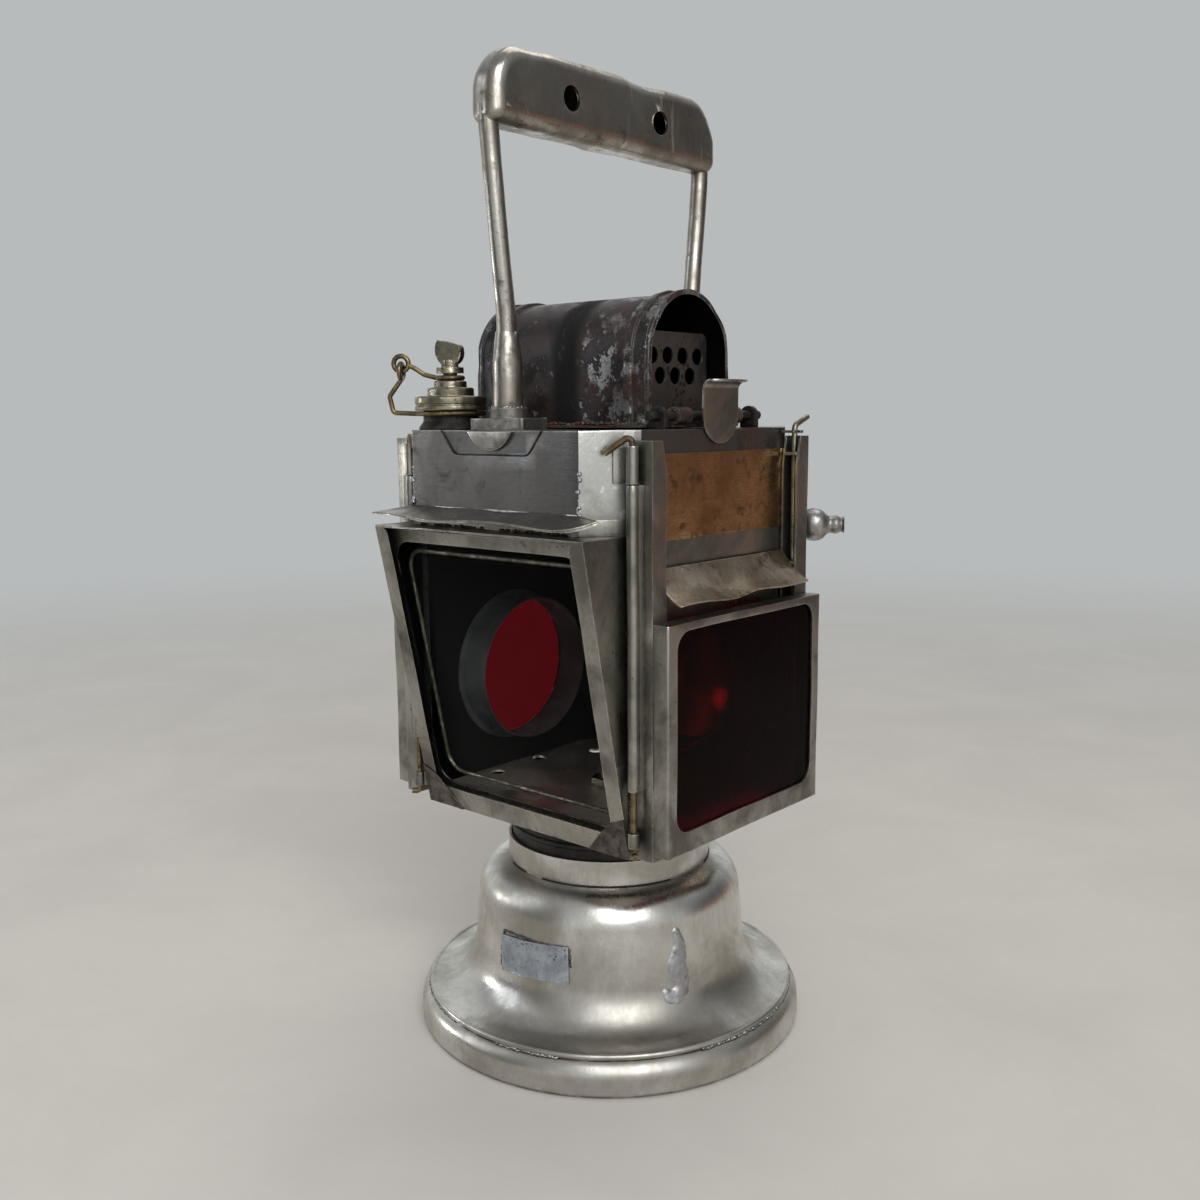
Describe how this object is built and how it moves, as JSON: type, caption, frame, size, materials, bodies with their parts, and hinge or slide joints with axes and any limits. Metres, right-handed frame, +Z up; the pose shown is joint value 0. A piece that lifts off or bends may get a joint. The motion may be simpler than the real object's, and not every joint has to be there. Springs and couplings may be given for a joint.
{
  "type": "carbide railway signal lamp",
  "caption": "Eight-sided sheet-metal carbide lamp on a turning bell base, with a slanted clear window, hinged red side glasses, tilting chimney and wire-frame handle.",
  "frame": {"origin": "centre of the base's underside, on the table", "axes": "+Z up, -Y towards the slanted clear window, +X towards the right-hand red glass"},
  "size_m": [0.14, 0.14, 0.332],
  "materials": {
    "nickel_sheet": "worn satin nickel over sheet brass, smudged and pitted",
    "dark_tank": "dark tarnished sheet with pale scratches",
    "chamber_black": "sooted matt black",
    "floor_metal": "stained brown and grey",
    "handle_steel": "hand-polished steel with brown patches",
    "stack_paint": "black paint flaking to dark steel, some rust",
    "aged_brass": "dark aged brass",
    "plate_brass": "bare brass plate, tarnished",
    "bronze_wire": "bronze wire",
    "solder_black": "blackened, rough solder",
    "clear_glass": "clear window glass",
    "red_glass": "deep ruby signal glass",
    "rubber": "black rubber",
    "steatite": "cream burner stone",
    "reflector_silver": "tarnished silvered dish",
    "zinc_tag": "dull soldered tag",
    "wire_nickel": "plain steel wire",
    "knob_steel": "dark polished steel",
    "inner_steel": "grey steel, oily"
  },
  "bodies": {
    "head": {"neck_tube": "chamber_black", "floor_plate": "floor_metal", "chamber_shell": "nickel_sheet", "window_hood": "nickel_sheet", "corner_patches": "nickel_sheet", "window_frame": "nickel_sheet", "front_glass": "clear_glass", "window_retainer": "wire_nickel", "front_visor": "nickel_sheet", "water_tank": "dark_tank", "tank_front_tab": "nickel_sheet", "light_tubes": "chamber_black", "reflector": "reflector_silver", "burner_riser": "aged_brass", "burner_tip": "steatite", "drip_cock": "aged_brass", "drip_pipe": "aged_brass", "name_plate": "plate_brass", "lift_tabs": "nickel_sheet", "hinge_leaves": "nickel_sheet", "hinge_pins": "bronze_wire", "door_catches": "nickel_sheet", "filler_neck": "solder_black", "filler_cap": "aged_brass", "keeper_upper": "bronze_wire", "keeper_lower": "bronze_wire", "stack_rod": "knob_steel", "stack_lugs": "solder_black", "handle_feet": "dark_tank", "handle_sleeves": "handle_steel", "handle_rods": "handle_steel", "handle_grip": "handle_steel"},
    "base": {"foot_ring": "nickel_sheet", "bottom_plate": "inner_steel", "base_bell": "nickel_sheet", "number_tag": "zinc_tag", "carbide_can": "inner_steel", "can_lid": "inner_steel", "base_gasket": "rubber"},
    "right_door": {"right_posts": "nickel_sheet", "right_glass_frame": "nickel_sheet", "right_red_glass": "red_glass", "right_glass_spring": "wire_nickel", "right_visor": "nickel_sheet", "right_latch_pin": "wire_nickel", "right_knuckle": "nickel_sheet"},
    "left_door": {"left_posts": "nickel_sheet", "left_glass_frame": "nickel_sheet", "left_red_glass": "red_glass", "left_glass_spring": "wire_nickel", "left_visor": "nickel_sheet", "left_latch_pin": "wire_nickel", "left_knuckle": "nickel_sheet"},
    "chimney": {"chimney_deck": "stack_paint", "chimney_stack": "stack_paint", "chimney_baffles": "inner_steel"},
    "knob": {"regulator_knob": "knob_steel"},
    "plug": {"screw_plug": "aged_brass"}
  },
  "joints": [
    {"name": "base_turn", "type": "hinge", "parent": "head", "child": "base", "pos_m": [0, 0, 0.06], "axis": [0, 0, 1], "range_deg": [0, 60]},
    {"name": "right_door_hinge", "type": "hinge", "parent": "head", "child": "right_door", "pos_m": [0.051, -0.04675, 0.15], "axis": [0, 0, -1], "range_deg": [0, 100]},
    {"name": "left_door_hinge", "type": "hinge", "parent": "head", "child": "left_door", "pos_m": [-0.051, -0.04675, 0.15], "axis": [0, 0, 1], "range_deg": [0, 100]},
    {"name": "chimney_tilt", "type": "hinge", "parent": "head", "child": "chimney", "pos_m": [0.0435, 0, 0.2179], "axis": [0, 1, 0], "range_deg": [0, 65]},
    {"name": "knob_turn", "type": "hinge", "parent": "head", "child": "knob", "pos_m": [0.0435, 0.04825, 0.1786], "axis": [0.8321, 0.5547, 0], "range_deg": [0, 270]},
    {"name": "plug_turn", "type": "hinge", "parent": "head", "child": "plug", "pos_m": [-0.033, -0.043, 0.2302], "axis": [0, 0, 1], "range_deg": [0, 270]}
  ]
}
